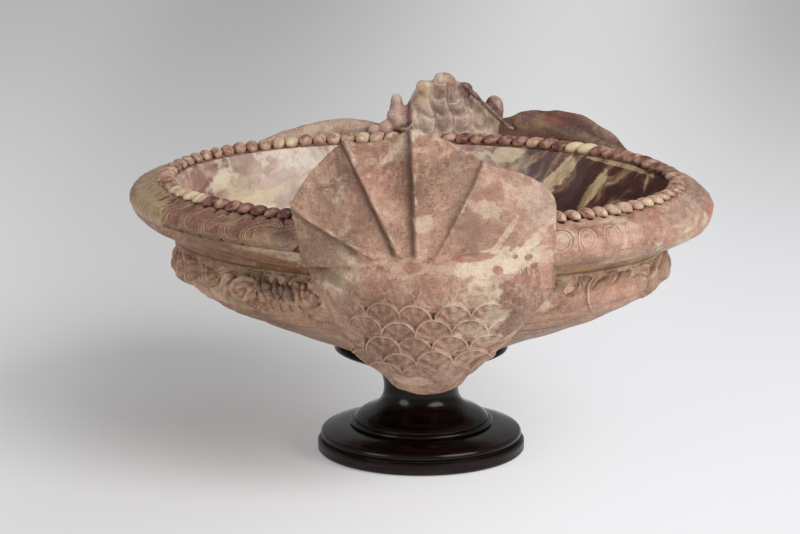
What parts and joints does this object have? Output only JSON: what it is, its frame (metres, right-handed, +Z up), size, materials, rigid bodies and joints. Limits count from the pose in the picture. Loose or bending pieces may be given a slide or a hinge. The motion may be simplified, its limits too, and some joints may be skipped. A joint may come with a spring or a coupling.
{
  "type": "basin",
  "caption": "Oval marble basin carved as a sea creature with a fan tail and a crested head, a brim of round beads, and a turned dark wooden foot",
  "frame": {"origin": "on the foot's axis, on the surface that the felt under the foot rests on", "axes": "+X along the long side of the oval, -Y towards the fan tail, +Y towards the head, +Z up"},
  "size_m": [0.704, 0.6404, 0.459],
  "materials": {
    "bowl_marble": "breccia marble, polished inside, tooled outside",
    "bead_marble": "breccia marble beads",
    "tail_marble": "breccia marble, finely tooled",
    "head_marble": "breccia marble, finely tooled",
    "fin_marble": "breccia marble, smooth",
    "turned_wood": "dark stained, french polished",
    "plinth_wood": "dark stained, waxed",
    "leather": "plain",
    "felt": "baize",
    "bronze": "plain",
    "steel": "plain"
  },
  "bodies": {
    "root": {"basin_bowl": "bowl_marble", "bead_moulding": "bead_marble", "tail": "tail_marble", "head": "head_marble", "left_side_fin": "fin_marble", "right_side_fin": "fin_marble", "tail_dowels": "bronze", "head_dowels": "bronze", "fin_dowels": "bronze", "seat_pad": "leather", "foot_dish": "turned_wood", "foot_stem": "turned_wood", "foot_disc": "turned_wood", "foot_plinth": "plinth_wood", "tie_rod": "steel", "rod_socket": "bronze", "tie_nut": "steel", "tie_washer": "steel", "plinth_screws": "steel", "base_felt": "felt"}
  },
  "joints": []
}
